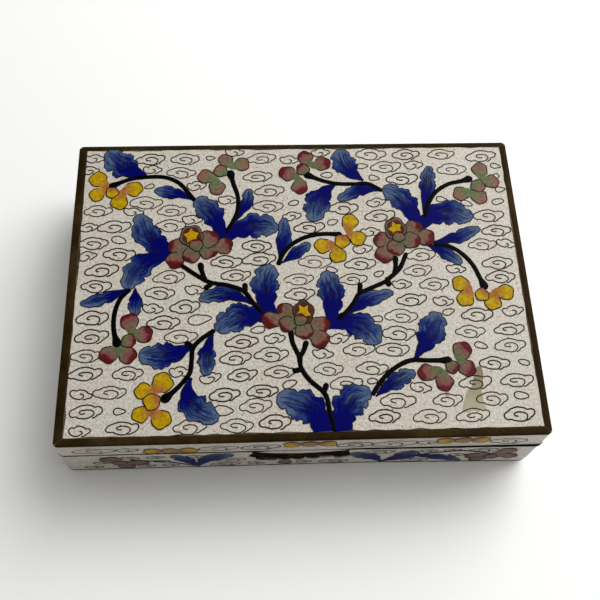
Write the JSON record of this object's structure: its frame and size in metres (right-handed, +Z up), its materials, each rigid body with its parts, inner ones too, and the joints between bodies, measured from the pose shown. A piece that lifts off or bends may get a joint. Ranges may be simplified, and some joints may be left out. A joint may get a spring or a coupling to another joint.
{
  "type": "cloisonne enamel box",
  "caption": "Low rectangular copper box with a lift-off lid, white cloisonne enamel with cloud scrolls and blossom branches, and a mitred brass border round the lid.",
  "frame": {"origin": "middle of the underside, on the surface the box stands on", "axes": "+Z up, +X along the length to the right, -Y towards the front"},
  "size_m": [0.127, 0.09, 0.028],
  "materials": {
    "white_enamel": "satin",
    "blue_enamel": "satin",
    "rose_enamel": "satin",
    "yellow_enamel": "satin",
    "black_enamel": "satin",
    "border_brass": "dark patina",
    "wire_brass": "dark patina",
    "bare_copper": "dark oxidised copper"
  },
  "bodies": {
    "root": {"base_tray": "white_enamel", "lid_shell": "white_enamel", "lid_border_front": "border_brass", "lid_border_back": "border_brass", "lid_border_left": "border_brass", "lid_border_right": "border_brass"}
  },
  "joints": []
}
